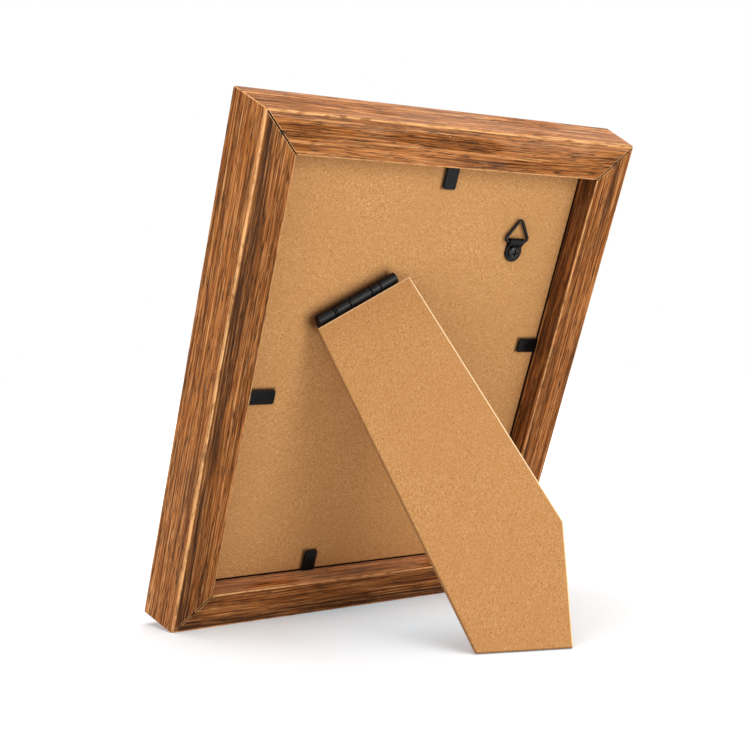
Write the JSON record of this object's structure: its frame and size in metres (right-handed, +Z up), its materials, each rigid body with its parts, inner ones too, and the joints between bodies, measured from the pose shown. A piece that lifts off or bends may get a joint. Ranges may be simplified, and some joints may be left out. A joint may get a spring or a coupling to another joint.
{
  "type": "easel back photo frame",
  "caption": "Mitred wooden photo frame standing on a hinged two-way easel strut, with a fibreboard back held by bending tabs and a triangle-ring wall hanger.",
  "frame": {"origin": "on the table, under the middle of the standing frame's bounding box", "axes": "+Z up, the picture faces -Y, the strut stands out on the +Y side"},
  "size_m": [0.2568, 0.1828, 0.2935],
  "materials": {
    "stained_wood": "stained, satin",
    "fibreboard": "raw, matte",
    "black_steel": "satin black",
    "bright_steel": "dull",
    "clear_glass": "clear, polished",
    "plain_paper": "matte"
  },
  "bodies": {
    "frame": {"rail_top": "stained_wood", "rail_bottom": "stained_wood", "rail_left": "stained_wood", "rail_right": "stained_wood", "v_nails": "bright_steel", "glass_pane": "clear_glass", "picture_print": "plain_paper", "backing_board": "fibreboard", "tab_roots": "black_steel", "hinge_board_leaf": "black_steel", "hinge_pin": "black_steel", "hanger_strap": "black_steel", "hanger_screw": "black_steel"},
    "easel_leg": {"strut": "fibreboard", "hinge_strut_leaf": "black_steel"},
    "top_tab": {"tab_top": "black_steel"},
    "bottom_tab": {"tab_bottom": "black_steel"},
    "left_tab": {"tab_left": "black_steel"},
    "right_tab": {"tab_right": "black_steel"},
    "ring": {"hanger_ring": "black_steel"}
  },
  "joints": [
    {"name": "easel_hinge", "type": "hinge", "parent": "frame", "child": "easel_leg", "pos_m": [0.0401, -0.00018, 0.18801], "axis": [-0.8616, 0.186, 0.4722], "range_deg": [0, 39]},
    {"name": "top_tab_bend", "type": "hinge", "parent": "frame", "child": "top_tab", "pos_m": [-0.0072, 0.02682, 0.26295], "axis": [1, 0, 0], "range_deg": [0, 85]},
    {"name": "bottom_tab_bend", "type": "hinge", "parent": "frame", "child": "bottom_tab", "pos_m": [0.0324, -0.06639, 0.02635], "axis": [-1, 0, 0], "range_deg": [0, 85]},
    {"name": "left_tab_bend", "type": "hinge", "parent": "frame", "child": "left_tab", "pos_m": [0.10175, -0.02404, 0.13386], "axis": [0, -0.3665, -0.9304], "range_deg": [0, 85]},
    {"name": "right_tab_bend", "type": "hinge", "parent": "frame", "child": "right_tab", "pos_m": [-0.10175, -0.01345, 0.16075], "axis": [0, 0.3665, 0.9304], "range_deg": [0, 85]},
    {"name": "ring_swing", "type": "hinge", "parent": "frame", "child": "ring", "pos_m": [-0.065, 0.0122, 0.22298], "axis": [-1, 0, 0], "range_deg": [0, 150]}
  ]
}
